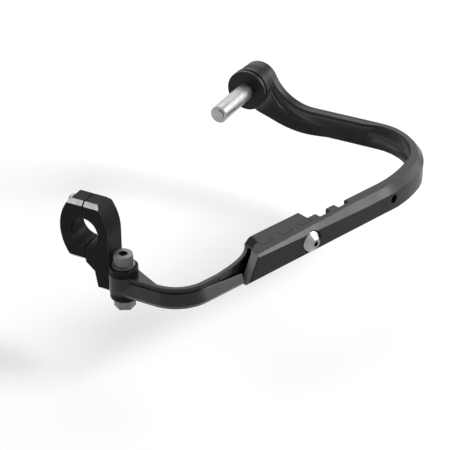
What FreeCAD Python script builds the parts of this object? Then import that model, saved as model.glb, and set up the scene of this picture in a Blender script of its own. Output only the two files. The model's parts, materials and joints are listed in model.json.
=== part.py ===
import FreeCAD, Part
import math
import os

os.makedirs("parts", exist_ok=True)
V = FreeCAD.Vector

# Frame: origin at the centre of the handlebar clamp's bore, +X outboard along the handlebar,
# -Y forward, +Z up. All sizes in millimetres.

# Fits and clearances
clamp_fit = 0.05            # radial, clamp bore on the handlebar
expander_fit = 0.2          # radial, sleeve in the handlebar's end before it is spread
bolt_clearance = 0.2        # radial, plain holes round bolts
head_clearance = 0.4        # radial, counterbores round screw heads
thread_gap = 0.05           # radial, screw threads in their tapped holes
tooth_clearance = 0.4       # between the two toothed faces
ear_clearance = 0.15        # between the eye and each ear of the lug
channel_gap = 0.15          # each side of the nut in its channel
wedge_gap = 0.05            # along the axis, wedge nut and sleeve
sit_gap = 0.02              # between two faces that are bolted together
overshoot = 1.0             # how far a cutting shape runs past the face it opens
far = 400.0                 # longer than any piece
quarter_turn = 90           # degrees

# Handlebar that carries the guard
handlebar_radius = 11.1
tube_bore_radius = 7.1

# Metric bolts
m6_radius = 3.0
m6_head_radius = 5.0
m6_head_height = 6.0
m6_key = 5.0
m8_radius = 4.0
m8_head_radius = 6.5
m8_head_height = 8.0
m8_key = 6.0
m8_nut_key = 13.0
m8_nut_height = 6.6
m8_washer_radius = 8.0
washer_thickness = 1.6
key_depth = 3.6
bolt_past = 1.0             # thread that shows past a nut

# Guard loop
guard_top = -15.5
guard_height = 21.5
leg_outer = 264.0
leg_thickness = 7.0
leg_run = 106.5             # handlebar to the start of the bend
bend_radius = 54.0
sweep_radius = 133.0
front_angle = 19.8          # front bar against the handlebar, in plan
bar_depth = 12.7
outer_bevel = 1.6           # bevel along the outside of the leg and the bend
edge_bevel = 0.7            # small bevel of the other moulded edges

# Bar-end boss and the leg that drops from it
boss_length = 18.0
boss_radius = 15.5
head_sink = 0.2             # bar-end bolt's head below the boss's face
pocket_gap = 1.4            # radial, boss pocket round that head
leg_top_radius = 39.5
leg_foot_radius = 70.0
leg_foot_start = -54.0
leg_foot_end = -23.0
heel_y = -5.0
heel_drop = 5.5             # heel below the boss
heel_root_y = 4.0

# Gusset, lip and fine line on the leg
gusset_run = 60.0
gusset_wall = 3.2           # rim of the pocket between the gusset and the leg
gusset_pocket = 7.0         # how deep that pocket is
gusset_bevel = 0.9
gusset_ridge = [(-15.0, -4.0), (-18.6, -10.6), (-23.2, -16.0), (-33.6, -22.6), (-45.0, -25.6), (-60.0, -26.6)]
lip_depth = 2.4
lip_height = 2.6
lip_start = -12.0
lip_fade = 12.0
line_inset = 4.4
line_lead = 3.0             # it starts this far from the boss
line_width = 0.8
line_depth = 0.5

# Long recess in the inside of the bend
recess_lead = 3.1           # how far it reaches back along the leg
recess_radius = 6.5
recess_depth = 2.4
recess_drop = 1.3           # below the middle of the guard
recess_turn = 50.0

# Planed top-front edge, and the small one below it
plane_depth = 4.9
plane_drop = 5.5
plane_full = 25.0           # it keeps its full width to this distance past the sweep
plane_end_share = 0.2       # share of its width left at the free end
under_edge = 2.5

# Teeth, and the free end of the front bar
tooth_pitch = 19.0
tooth_gap_width = 10.8
tooth_depth = 4.8
gaps_free = 2
gaps_meshed = 3
end_tooth = 2.1             # last tooth at full height
relief_run = 9.5            # slope behind it that lets the inner arm pass
relief_depth = 5.2
end_tail = 8.5              # last tooth to the free end, along the top
end_rake = 10.0             # the free end leans this far from top to bottom

# Small screw hole near the bend
deflector_u = -9.0
deflector_radius = 3.5

# Joint bolt
joint_drop = 11.4           # below the guard's top
joint_shift = 1.8           # inboard of the middle of the first meshed tooth gap
cone_radius = 8.3
cone_tip_radius = 3.6
cone_height = 4.8
cone_key = 4.0
cone_sink = 1.0             # counterbore that the cone sits in

# Inner arm
arm_drop = 7.0              # its top below the guard's top
arm_height = 14.0
arm_thickness = 7.5
arm_face = -19.3            # inboard face of the straight root
arm_bend_radius = 33.0
arm_inset = 3.2             # its front face behind the front bar's face
arm_straight = 33.2         # end of its bend to the shoulder at the free end of the front bar
shoulder_gap = 0.6
arm_rib = 3.0               # upstanding rib along its rear
arm_rib_height = 2.6
arm_groove = 1.0            # groove under that rib
arm_groove_height = 1.6
arm_face_drop = 11.1        # lower edge of the sloping face, below the top
arm_under = 1.5             # how far the face below it leans back
hollow_run = 31.0           # hollow between the rib and the sloping face, from the shoulder
hollow_face = 3.2           # left in front of it, at the shoulder
hollow_wall = 1.4           # left beside the block
hollow_drop = 10.0          # its floor below the arm's top
eye_radius = 10.5
eye_gap = 1.3               # eye to the clamp's front
block_lead = 6.3            # block past the middle of the first meshed gap, outboard
block_tail = 8.7            # block past the last meshed tooth, inboard
block_depth = 10.1
block_bevel_run = 5.5
block_bevel_drop = 4.2
flare_near_u = 6.3
flare_near_n = 5.8
flare_neck = 1.9
flare_run = 19.4
nut_sink = 0.4              # joint nut below the block's rear face

# Clamp
clamp_width = 17.5
clamp_wall = 8.05           # bore to the rounded front and rear
clamp_flat = 10.5           # half length of the flat top
clamp_slit = 1.2
clamp_edge = 2.8            # planed edges
screw_wall = 2.65           # bore to the screw holes
screw_margin = 1.5          # screw heads to the flat top and bottom
screw_seat = 8.5
screw_reach = 11.2          # screw's end, forward of the bore's axis
tap_spare = 0.8
spine_depth = 9.7
knee_back = 2.1
knee_drop = 5.7
ear_thickness = 5.0
ear_radius = 10.0

# Bar-end collar and expander
collar_radius = 16.6
collar_width = 10.0
collar_neck = 14.2
collar_neck_width = 1.6
sleeve_length = 38.0
wedge_length = 9.0          # wedge nut past the sleeve's longer side

# Heights and places that follow from those above
guard_bottom = guard_top - guard_height
guard_mid = (guard_top + guard_bottom) / 2
arm_top = guard_top - arm_drop
arm_bottom = arm_top - arm_height
joint_z = guard_top - joint_drop
leg_inner = leg_outer - leg_thickness
boss_inner = leg_outer - boss_length
clearance_m8 = m8_radius + bolt_clearance
clearance_m6 = m6_radius + bolt_clearance
bore_radius = handlebar_radius + clamp_fit
clamp_reach = bore_radius + clamp_wall
screw_height = bore_radius + screw_wall + clearance_m6
clamp_half_height = screw_height + m6_head_radius + screw_margin
half_width = clamp_width / 2
up = V(0, 0, 1)
outboard = V(1, 0, 0)

# Front bar's own directions: inboard along it, and back from its front face
angle = math.radians(front_angle)
inboard = V(-math.cos(angle), math.sin(angle), 0)
rearward = V(math.sin(angle), math.cos(angle), 0)
bend_centre = V(leg_outer - bend_radius, -leg_run, 0)
front_y = -leg_run - bend_radius
sweep_centre = V(bend_centre.x, front_y + sweep_radius, 0)
front_origin = sweep_centre - rearward * sweep_radius

# Inner arm's bend, set so that its front face lies behind the front bar's face
arm_centre_x = arm_face + arm_bend_radius
arm_centre_n = front_origin.dot(rearward) + arm_inset + arm_bend_radius
arm_centre = V(arm_centre_x, (arm_centre_n - arm_centre_x * rearward.x) / rearward.y, 0)

# Places along the front bar, counted inboard from the sweep's end
shoulder_u = (arm_centre - front_origin).dot(inboard) - arm_straight
end_bottom = shoulder_u - shoulder_gap
end_top = end_bottom - end_rake
relief_u = end_top - end_tail
relief_flat_u = relief_u + relief_run
last_u = relief_u - end_tooth - tooth_gap_width / 2
mesh_run = tooth_pitch * (gaps_meshed - 1)
mesh_u = last_u - mesh_run
joint_u = mesh_u + joint_shift
block_outboard = mesh_u - block_lead
block_inboard = last_u + block_tail
bar_length = end_bottom + bar_depth


def at(u, n, z):
    """Point on the front bar: u inboard from the sweep's end, n back from the front face, height z."""
    return front_origin + inboard * u + rearward * n + up * z


def edge(a, b):
    """Straight edge."""
    return Part.makeLine(a, b)


def arc(a, b, c):
    """Arc through three points."""
    return Part.Arc(a, b, c).toShape()


def chain(*points):
    """Straight edges from each point to the next."""
    return [edge(a, b) for a, b in zip(points, points[1:])]


def curve(points):
    """Smooth edge through points."""
    spline = Part.BSplineCurve()
    spline.interpolate(points)
    return spline.toShape()


def swept(edges, direction):
    """Solid of a closed run of edges, pushed along a direction."""
    return Part.Face(Part.Wire(edges)).extrude(direction)


def prism(points, direction):
    """Solid of a closed run of points, pushed along a direction."""
    return Part.Face(Part.makePolygon(points + points[:1])).extrude(direction)


def box(x0, x1, y0, y1, z0, z1):
    """Box between opposite corners."""
    return Part.makeBox(x1 - x0, y1 - y0, z1 - z0, V(x0, y0, z0))


def rod(radius, start, end):
    """Cylinder between two points."""
    return Part.makeCylinder(radius, (end - start).Length, start, end - start)


def ring(outer, inner, start, end):
    """Plain ring between two points."""
    return rod(outer, start, end).cut(rod(inner, start, end))


def on_circle(centre, radius, turn):
    """Point on a circle in plan."""
    return centre + V(math.cos(turn), math.sin(turn), 0) * radius


def bar_block(u0, u1, n0, n1, z0, z1):
    """Block square to the front bar."""
    foot = [at(u0, n0, z0), at(u1, n0, z0), at(u1, n1, z0), at(u0, n1, z0)]
    return prism(foot, up * (z1 - z0))


def hexagon(key, centre, axis, cross, length):
    """Hexagonal rod of a given key width, from a centre along an axis, with a corner towards cross."""
    side = axis.cross(cross)
    reach = key / math.sqrt(3)
    corners = []
    for i in range(6):
        turn = math.pi / 3 * i
        corners.append(centre + cross * (reach * math.cos(turn)) + side * (reach * math.sin(turn)))
    return prism(corners, axis * length)


def cap_screw(radius, head_radius, head_height, key, seat, axis, length):
    """Socket-headed screw; the axis points from the seat along the shank."""
    head = rod(head_radius, seat, seat - axis * head_height)
    shank = rod(radius, seat, seat + axis * length)
    cross = V(axis.y, axis.z, axis.x)
    socket = hexagon(key, seat - axis * head_height, axis, cross, key_depth)
    return head.fuse(shank).removeSplitter().cut(socket)


def edge_by(shape, point):
    """Edge of a shape that passes nearest to a point."""
    return min(shape.Edges, key=lambda e: e.distToShape(Part.Vertex(point))[0])


def bevelled(shape, size, points):
    """Shape with the edges that pass by the given points bevelled."""
    return shape.makeChamfer(size, [edge_by(shape, point) for point in points])


def save(shape, name):
    """Write one node."""
    shape.exportStep("parts/" + name + ".step")


# Outer arm: plan outline
half_turn = -math.pi / 4
mid_turn = -math.pi / 2 - angle / 2
inner_front_y = front_y + bar_depth
inner_radius = -leg_run - inner_front_y
inner_centre = V(leg_inner - inner_radius, -leg_run, 0)
front_start = V(bend_centre.x, front_y, 0)
rear_start = V(bend_centre.x, inner_front_y, 0)
outer_leg = V(leg_outer, -leg_run, 0)
inner_leg = V(leg_inner, -leg_run, 0)
plan = [
    arc(outer_leg, on_circle(bend_centre, bend_radius, half_turn), front_start),
    arc(front_start, on_circle(sweep_centre, sweep_radius, mid_turn), at(0, 0, 0)),
    *chain(at(0, 0, 0), at(bar_length, 0, 0), at(bar_length, bar_depth, 0), at(0, bar_depth, 0)),
    arc(at(0, bar_depth, 0), on_circle(sweep_centre, sweep_radius - bar_depth, mid_turn), rear_start),
    edge(rear_start, V(inner_centre.x, inner_front_y, 0)),
    arc(V(inner_centre.x, inner_front_y, 0), on_circle(inner_centre, inner_radius, half_turn), inner_leg),
    *chain(inner_leg, V(leg_inner, boss_radius, 0), V(leg_outer, boss_radius, 0), outer_leg),
]
plan_solid = swept(plan, up * far)
plan_solid.translate(-up * far / 2)

# Side outline: the leg falls from the boss in a long S to the guard's height
top_centre_z = guard_top + leg_top_radius
top_centre_y = -math.sqrt((boss_radius + leg_top_radius) ** 2 - top_centre_z ** 2)
blend = boss_radius / (boss_radius + leg_top_radius)
blend_y = top_centre_y * blend
blend_z = top_centre_z * blend
top_turn = (math.atan2(blend_z - top_centre_z, blend_y - top_centre_y) - math.pi / 2) / 2
top_middle_y = top_centre_y + leg_top_radius * math.cos(top_turn)
top_middle_z = top_centre_z + leg_top_radius * math.sin(top_turn)
foot_centre_z = guard_bottom + leg_foot_radius
foot_mid = (leg_foot_start + leg_foot_end) / 2


def foot_point(x, y):
    """Point on the leg's lower edge in its curved part."""
    return V(x, y, foot_centre_z - math.sqrt(leg_foot_radius ** 2 - (y - leg_foot_start) ** 2))


def under_edges(x):
    """Lower edge of the leg from the guard's foot up to the boss's centre, at one X."""
    foot = foot_point(x, leg_foot_start)
    foot_end = foot_point(x, leg_foot_end)
    heel = V(x, heel_y, -boss_radius - heel_drop)
    heel_root = V(x, heel_root_y, -math.sqrt(boss_radius ** 2 - heel_root_y ** 2))
    return [arc(foot, foot_point(x, foot_mid), foot_end), *chain(foot_end, heel, heel_root, V(x, 0, 0))]


def side_solid(drop):
    """Everything below the guard's top outline, with that outline lowered by a drop."""
    top = V(-far, blend_y, blend_z - drop)
    middle = V(-far, top_middle_y, top_middle_z - drop)
    level = V(-far, top_centre_y, guard_top - drop)
    run = chain(level, V(-far, -far, guard_top - drop), V(-far, -far, guard_bottom),
                foot_point(-far, leg_foot_start))
    outline = [arc(top, middle, level), *run, *under_edges(-far), edge(V(-far, 0, 0), top)]
    return swept(outline, outboard * 2 * far)


outer_arm = plan_solid.common(side_solid(0)).Solids[0]
outer_bend = on_circle(bend_centre, bend_radius, half_turn)
outer_sweep = on_circle(sweep_centre, sweep_radius, mid_turn)
leg_mid_y = (leg_foot_start - leg_run) / 2
outer_edges = [V(leg_outer, leg_mid_y, z) for z in (guard_top, guard_bottom)]
outer_edges += [outer_bend + up * z for z in (guard_top, guard_bottom)]
outer_edges += [outer_sweep + up * z for z in (guard_top, guard_bottom)]
outer_edges += [V(leg_outer, top_middle_y, top_middle_z), foot_point(leg_outer, foot_mid)]
outer_arm = bevelled(outer_arm, outer_bevel, outer_edges)


# Gusset that carries the boss into the leg: a rim wall, and the floor of the pocket behind it
def gusset_side(drop):
    """Everything under the gusset's ridge, with the ridge lowered by a drop."""
    ridge = [V(boss_inner, y, z - drop) for y, z in gusset_ridge]
    outline = [curve(ridge), *chain(ridge[-1], V(boss_inner, ridge[-1].y, guard_bottom),
                                    foot_point(boss_inner, leg_foot_start))]
    outline += [*under_edges(boss_inner), edge(V(boss_inner, 0, 0), ridge[0])]
    return swept(outline, outboard * boss_length)


def gusset_plan(wall):
    """Plan of the gusset behind a wall of the given thickness."""
    return prism([
        V(boss_inner + wall, boss_radius, -far / 2),
        V(boss_inner + wall, heel_y, -far / 2),
        V(leg_inner + wall, -gusset_run, -far / 2),
        V(leg_outer, -gusset_run, -far / 2),
        V(leg_outer, boss_radius, -far / 2),
    ], up * far)


gusset_rim = gusset_side(0).common(gusset_plan(0).cut(gusset_plan(gusset_wall)))
rim_y, rim_z = gusset_ridge[len(gusset_ridge) // 2]
rim_x = boss_inner + (leg_inner - boss_inner) * (heel_y - rim_y) / (heel_y + gusset_run)
gusset_rim = bevelled(gusset_rim.Solids[0], gusset_bevel, [V(rim_x, rim_y, rim_z)])
outer_arm = outer_arm.fuse([gusset_rim, gusset_side(gusset_pocket).common(gusset_plan(0))])

# Lip along the leg's top edge, fading at the bend
lip_plan = prism([
    V(leg_inner - lip_depth, lip_start, -far / 2),
    V(leg_inner - lip_depth, lip_fade - leg_run, -far / 2),
    V(leg_inner, -leg_run, -far / 2),
    V(leg_inner + lip_depth, -leg_run, -far / 2),
    V(leg_inner + lip_depth, lip_start, -far / 2),
], up * far)
outer_arm = outer_arm.fuse(lip_plan.common(side_solid(0).cut(side_solid(lip_height))))

# Boss with its bore and the pocket for the bar-end bolt
boss = bevelled(rod(boss_radius, V(boss_inner, 0, 0), V(leg_outer, 0, 0)), outer_bevel,
                [V(leg_outer, boss_radius, 0)])
outer_arm = outer_arm.fuse(boss).removeSplitter()
pocket_radius = m8_head_radius + pocket_gap
pocket_floor = leg_outer - washer_thickness - m8_head_height - head_sink
outer_arm = outer_arm.cut(rod(pocket_radius, V(pocket_floor, 0, 0), V(leg_outer + overshoot, 0, 0)))
outer_arm = outer_arm.cut(rod(clearance_m8, V(boss_inner - overshoot, 0, 0), V(leg_outer, 0, 0)))

# Fine line along the leg's top
line_x = leg_outer - line_inset
line_strip = box(line_x, line_x + line_width, -leg_run, -boss_radius - line_lead, -far, far)
outer_arm = outer_arm.cut(line_strip.common(side_solid(0).cut(side_solid(line_depth))))

# Long scooped recess in the inside of the bend
recess_off = recess_radius - recess_depth
scoop_radius = inner_radius - recess_off
scoop_centre = inner_centre + up * (guard_mid - recess_drop)
scoop_bend = scoop_centre + outboard * scoop_radius
scoop_leg = scoop_bend + V(0, recess_lead, 0)
scoop_end = on_circle(scoop_centre, scoop_radius, -math.radians(recess_turn))
scoop_bent = Part.makeTorus(scoop_radius, recess_radius, scoop_centre, up,
                            -quarter_turn * 2, quarter_turn * 2, recess_turn)
scoop_bent.rotate(scoop_centre, up, -recess_turn)
scoop = scoop_bent.fuse([
    rod(recess_radius, scoop_leg, scoop_bend),
    Part.makeSphere(recess_radius, scoop_leg),
    Part.makeSphere(recess_radius, scoop_end),
])
outer_arm = outer_arm.cut(scoop)


# Planed edges along the front bar
def planed(u0, share0, u1, share1, depth, drop, z, side):
    """Wedge that planes the front edge at height z; side is +1 for the top edge, -1 for the lower."""
    sections = []
    for u, share in ((u0, share0), (u1, share1)):
        run = depth * share
        fall = drop * share * side
        behind = at(u, run * 2, z + fall)
        below = at(u, -run, z - fall * 2)
        corner = at(u, -run, z + fall)
        sections.append(Part.makePolygon([behind, below, corner, behind]))
    return Part.makeLoft(sections, True, True)


def turned_wedge(centre, radius, start, sweep):
    """Wedge that planes the top edge round a bend; radius is that of the planed face's upper edge."""
    wide = radius + plane_depth * 2
    section = [(radius - plane_depth, guard_top + plane_drop), (wide, guard_top - plane_drop * 2),
               (wide, guard_top + plane_drop)]
    corners = [on_circle(centre, reach, start) + up * z for reach, z in section]
    return Part.Face(Part.makePolygon(corners + corners[:1])).revolve(centre, up, sweep)


# The top's planed face keeps its width round the sweep and runs out round the bend
under_start = -far / 4
fade_centre = bend_centre + V(0, plane_depth, 0)
for wedge in (turned_wedge(fade_centre, bend_radius, -math.pi / 2, quarter_turn),
              turned_wedge(sweep_centre, sweep_radius - plane_depth, -math.pi / 2 - angle, front_angle),
              planed(0, 1, plane_full, 1, plane_depth, plane_drop, guard_top, 1),
              planed(plane_full, 1, bar_length, plane_end_share, plane_depth, plane_drop, guard_top, 1),
              planed(under_start, 1, bar_length + overshoot, 1, under_edge, under_edge, guard_bottom, -1)):
    outer_arm = outer_arm.cut(wedge)

# Free end, raked back at the top
cut_low = guard_bottom - overshoot
cut_high = guard_top + overshoot
rake = end_rake / guard_height * overshoot
outer_arm = outer_arm.cut(prism([
    at(end_top - rake, -bar_depth, cut_high),
    at(end_bottom + rake, -bar_depth, cut_low),
    at(bar_length + bar_depth, -bar_depth, cut_low),
    at(bar_length + bar_depth, -bar_depth, cut_high),
], rearward * bar_depth * 3))

# Rear face stepped back at the free end, to let the inner arm pass
outer_arm = outer_arm.cut(prism([
    at(relief_u, bar_depth, cut_low),
    at(relief_flat_u, bar_depth - relief_depth, cut_low),
    at(bar_length + bar_depth, bar_depth - relief_depth, cut_low),
    at(bar_length + bar_depth, bar_depth * 2, cut_low),
    at(relief_u, bar_depth * 2, cut_low),
], up * (cut_high - cut_low)))

# Gaps between the teeth on the rear face
gap_half = tooth_gap_width / 2
for k in range(-gaps_free, gaps_meshed):
    gap_u = mesh_u + tooth_pitch * k
    outer_arm = outer_arm.cut(bar_block(gap_u - gap_half, gap_u + gap_half, bar_depth - tooth_depth,
                                        bar_depth * 2, cut_low, cut_high))

# Joint bolt hole with its counterbore, and the small screw hole
for radius, u, z in ((clearance_m8, joint_u, joint_z), (deflector_radius, deflector_u, guard_mid)):
    outer_arm = outer_arm.cut(rod(radius, at(u, -bar_depth, z), at(u, bar_depth * 2, z)))
outer_arm = outer_arm.cut(rod(cone_radius + head_clearance, at(joint_u, -bar_depth, joint_z),
                              at(joint_u, cone_sink, joint_z)))

# Small bevels along the bend's inside and at the free end
inner_bend = on_circle(inner_centre, inner_radius, half_turn)
inner_sweep = on_circle(sweep_centre, sweep_radius - bar_depth, mid_turn)
outer_arm = bevelled(outer_arm.Solids[0], edge_bevel, [
    inner_bend + up * guard_top,
    inner_sweep + up * guard_top,
    inner_bend + up * guard_bottom,
    inner_sweep + up * guard_bottom,
    at((end_top + end_bottom) / 2, 0, guard_mid),
])
save(outer_arm, "outer_arm")

# Inner arm: a ribbed section, taken from the eye round the bend to the shoulder
eye = V(arm_face + eye_radius, -clamp_reach - eye_gap - eye_radius, 0)
arm_side = arm_face + arm_thickness
arm_sweep = quarter_turn - front_angle
rear_n = arm_inset + arm_thickness
rib_n = rear_n - arm_rib
contact_n = bar_depth + sit_gap
thin_n = bar_depth - relief_depth + tooth_clearance
block_rear = bar_depth + block_depth
flare_u = shoulder_u + flare_run
rib_front = arm_thickness - arm_rib
groove_low = arm_rib_height + arm_groove_height
groove_back = rib_front + arm_groove
arm_section = [
    (arm_thickness, 0), (rib_front, 0), (rib_front, arm_rib_height),
    (groove_back, arm_rib_height), (groove_back, groove_low), (rib_front, groove_low),
    (0, arm_face_drop), (arm_under, arm_height), (arm_thickness, arm_height),
]
root_section = [V(arm_face + back, arm_centre.y, arm_top - drop) for back, drop in arm_section]
front_section = [at(shoulder_u, arm_inset + back, arm_top - drop) for back, drop in arm_section]
arm_bend = Part.Face(Part.makePolygon(root_section + root_section[:1])).revolve(arm_centre, up, arm_sweep)
inner_arm = arm_bend.fuse([
    prism(root_section, V(0, eye.y - arm_centre.y, 0)),
    prism(front_section, inboard * arm_straight),
    rod(eye_radius, eye + up * arm_bottom, eye + up * arm_top),
    prism([
        V(arm_side - arm_rib, arm_centre.y + eye_gap, arm_bottom),
        V(arm_side, arm_centre.y + eye_gap, arm_bottom),
        V(eye.x + eye_radius, eye.y, arm_bottom),
        V(eye.x, eye.y, arm_bottom),
    ], up * arm_height),
])


# Flare that carries the arm into the block, hollowed between its rear rib and the sloping face
def flare(forward):
    """Rear outline of the flare in plan, moved forward."""
    return curve([
        at(block_inboard, block_rear - forward, arm_bottom),
        at(block_inboard + flare_near_u, block_rear - flare_near_n - forward, arm_bottom),
        at(shoulder_u, rear_n + flare_neck - forward, arm_bottom),
        at(flare_u, rear_n - forward, arm_bottom),
    ])


flare_high = guard_top - block_bevel_drop
flare_front = [(flare_u, rear_n), (flare_u, rib_n), (shoulder_u, rib_n), (shoulder_u, thin_n),
               (relief_flat_u, thin_n), (relief_u, contact_n), (last_u, contact_n),
               (last_u, block_rear), (block_inboard, block_rear)]
flare_edges = chain(*[at(u, n, arm_bottom) for u, n in flare_front])
flare_solid = swept([flare(0), *flare_edges], up * (flare_high - arm_bottom))
flare_slope = prism([
    at(block_inboard, 0, flare_high), at(flare_u, 0, arm_top), at(flare_u, 0, flare_high),
], rearward * far)
inner_arm = inner_arm.fuse(flare_solid.cut(flare_slope))
hollow_u = shoulder_u + hollow_run
hollow_end = block_inboard + hollow_wall
hollow_far = hollow_u + overshoot
hollow_front = thin_n - overshoot
rib_rear = [(flare_u, rib_n), (hollow_far, rib_n), (hollow_far, far), (block_inboard, far),
            (block_inboard, block_rear - arm_rib)]
rib_edges = chain(*[at(u, n, arm_bottom) for u, n in rib_rear])
hollow_plan = [(hollow_u, rib_n), (shoulder_u, arm_inset + hollow_face), (shoulder_u, hollow_front),
               (hollow_end, hollow_front), (hollow_end, block_rear), (hollow_u, block_rear)]
hollow = prism([at(u, n, arm_top - hollow_drop) for u, n in hollow_plan], up * far)
inner_arm = inner_arm.cut(hollow.cut(swept([flare(arm_rib), *rib_edges], up * far)))

# Toothed block behind the front bar, bevelled at its inboard end
block = bar_block(block_outboard, block_inboard, contact_n, block_rear, guard_bottom, guard_top)
for z, side in ((guard_top, 1), (guard_bottom, -1)):
    drop = block_bevel_drop * side
    past = block_inboard + block_bevel_run
    bevel = [at(past - block_bevel_run * 3, 0, z + drop), at(past, 0, z + drop), at(past, 0, z - drop * 2)]
    block = block.cut(prism(bevel, rearward * far))
tooth_half = gap_half - tooth_clearance
tooth_tip_n = bar_depth - tooth_depth + tooth_clearance
channel_n = block_rear - m8_nut_height - nut_sink
for k in range(gaps_meshed):
    tooth_u = mesh_u + tooth_pitch * k
    block = block.fuse(bar_block(tooth_u - tooth_half, tooth_u + tooth_half, tooth_tip_n, channel_n,
                                 guard_bottom, guard_top))
inner_arm = inner_arm.fuse(block).removeSplitter()

# Bolt slot and nut channel, long enough for every setting of the teeth
slot_end = joint_u + mesh_run
slot = bar_block(joint_u, slot_end, 0, block_rear, joint_z - clearance_m8, joint_z + clearance_m8)
for u in (joint_u, slot_end):
    slot = slot.fuse(rod(clearance_m8, at(u, 0, joint_z), at(u, block_rear, joint_z)))
channel_half = m8_nut_key / 2 + channel_gap
channel_end = slot_end + m8_nut_key / math.sqrt(3) + channel_gap
channel = bar_block(block_outboard - overshoot, channel_end, channel_n, block_rear + overshoot,
                    joint_z - channel_half, joint_z + channel_half)
inner_arm = inner_arm.cut(slot).cut(channel)

# Hole in the eye
inner_arm = inner_arm.cut(rod(clearance_m8, eye + up * arm_bottom, eye + up * arm_top))

# Bevelled top edges of the block
block_mid_u = (block_outboard + block_inboard) / 2
block_mid_n = (contact_n + block_rear) / 2
inner_arm = bevelled(inner_arm.removeSplitter().Solids[0], edge_bevel, [
    at(block_mid_u, block_rear, guard_top),
    at(block_outboard, block_mid_n, guard_top),
    at(block_inboard - block_bevel_run, block_mid_n, guard_top),
])
save(inner_arm, "inner_arm")

# Joint bolt with its cone head, and its nut
joint_seat = at(joint_u, cone_sink - sit_gap, joint_z)
nut_seat = at(joint_u, channel_n + sit_gap, joint_z)
nut_end = nut_seat + rearward * m8_nut_height
joint_bolt = Part.makeCone(cone_radius, cone_tip_radius, cone_height, joint_seat, -rearward)
joint_bolt = joint_bolt.fuse(rod(m8_radius, joint_seat, nut_end)).removeSplitter()
joint_bolt = joint_bolt.cut(hexagon(cone_key, joint_seat - rearward * cone_height, rearward, up, key_depth))
save(joint_bolt, "joint_bolt")
joint_nut = hexagon(m8_nut_key, nut_seat, rearward, inboard, m8_nut_height)
save(joint_nut.cut(rod(m8_radius + thread_gap, nut_seat, nut_end)), "joint_nut")


# Clamp halves
def clamp_half(side):
    """One half of the clamp; side is +1 for the rear half, -1 for the front half."""
    slit_y = side * clamp_slit / 2
    flat_y = side * clamp_flat
    low = -clamp_half_height
    high = clamp_half_height
    outline = [
        arc(V(-half_width, flat_y, high), V(-half_width, side * clamp_reach, 0), V(-half_width, flat_y, low)),
        *chain(V(-half_width, flat_y, low), V(-half_width, slit_y, low), V(-half_width, slit_y, high),
               V(-half_width, flat_y, high)),
    ]
    return swept(outline, outboard * clamp_width)


def edge_planes(levels):
    """Wedges that plane the clamp's long edges at the given heights."""
    wedges = []
    for z in levels:
        fall = math.copysign(clamp_edge, z)
        for x in (-half_width, half_width):
            run = math.copysign(clamp_edge, x)
            past = x + run
            corners = [V(x - run * 2, -far, z + fall), V(past, -far, z - fall * 2), V(past, -far, z + fall)]
            wedges.append(prism(corners, V(0, 2 * far, 0)))
    return wedges


clamp_rear = clamp_half(1).cut(edge_planes((clamp_half_height, -clamp_half_height)))

# Front half: a spine runs down from it and carries two ears round the arm's eye
spine_front = -clamp_reach
spine_rear = spine_front + spine_depth
ear_low = arm_bottom - ear_clearance - ear_thickness
ear_high = arm_top + ear_clearance + ear_thickness
spine = prism([
    V(-half_width, -clamp_slit / 2, -clamp_half_height),
    V(-half_width, spine_rear + knee_back, -clamp_half_height - knee_drop),
    V(-half_width, spine_rear, ear_low),
    V(-half_width, spine_front, ear_low),
    V(-half_width, spine_front, 0),
    V(-half_width, -clamp_flat, -clamp_half_height),
], outboard * clamp_width)
clamp_front = clamp_half(-1).cut(edge_planes((clamp_half_height,))).fuse(spine)
for z in (ear_low, ear_high - ear_thickness):
    centre = eye + up * z
    ear = prism([
        V(-half_width, spine_rear, z),
        V(-half_width, spine_front, z),
        V(eye.x - ear_radius, eye.y, z),
        V(eye.x + ear_radius, eye.y, z),
        V(half_width, spine_front, z),
        V(half_width, spine_rear, z),
    ], up * ear_thickness)
    ear = ear.fuse(rod(ear_radius, centre, centre + up * ear_thickness))
    clamp_front = clamp_front.fuse(ear.cut(rod(clearance_m8, centre, centre + up * ear_thickness)))
bar_bore = rod(bore_radius, V(-clamp_width, 0, 0), V(clamp_width, 0, 0))
clamp_front = clamp_front.cut(bar_bore).removeSplitter()
clamp_rear = clamp_rear.cut(bar_bore).removeSplitter()

# Clamp screws, put in from the rear
screws = []
for z in (screw_height, -screw_height):
    axis_point = V(0, 0, z)
    seat = V(0, screw_seat, z)
    clamp_rear = clamp_rear.cut(rod(clearance_m6, seat, axis_point))
    clamp_rear = clamp_rear.cut(rod(m6_head_radius + head_clearance, seat, V(0, clamp_reach + overshoot, z)))
    clamp_front = clamp_front.cut(rod(m6_radius + thread_gap, axis_point, V(0, -screw_reach - tap_spare, z)))
    screws.append(cap_screw(m6_radius, m6_head_radius, m6_head_height, m6_key, seat + V(0, sit_gap, 0),
                            V(0, -1, 0), screw_seat + screw_reach))
save(clamp_front, "clamp_front")
save(clamp_rear, "clamp_rear")
save(Part.makeCompound(screws), "clamp_screws")

# Pivot bolt through the ears and the eye, with its washers and nut
high_seat = eye + up * (ear_high + sit_gap)
low_seat = eye + up * (ear_low - sit_gap)
washers = [ring(m8_washer_radius, clearance_m8, high_seat, high_seat + up * washer_thickness),
           ring(m8_washer_radius, clearance_m8, low_seat, low_seat - up * washer_thickness)]
save(Part.makeCompound(washers), "pivot_washers")
pivot_seat = high_seat + up * (washer_thickness + sit_gap)
pivot_nut_seat = low_seat - up * (washer_thickness + sit_gap)
pivot_nut_end = pivot_nut_seat - up * m8_nut_height
save(cap_screw(m8_radius, m8_head_radius, m8_head_height, m8_key, pivot_seat, -up,
               pivot_seat.z - pivot_nut_end.z + bolt_past), "pivot_bolt")
pivot_nut = hexagon(m8_nut_key, pivot_nut_seat, -up, outboard, m8_nut_height)
save(pivot_nut.cut(rod(m8_radius + thread_gap, pivot_nut_seat, pivot_nut_end)), "pivot_nut")

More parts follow.
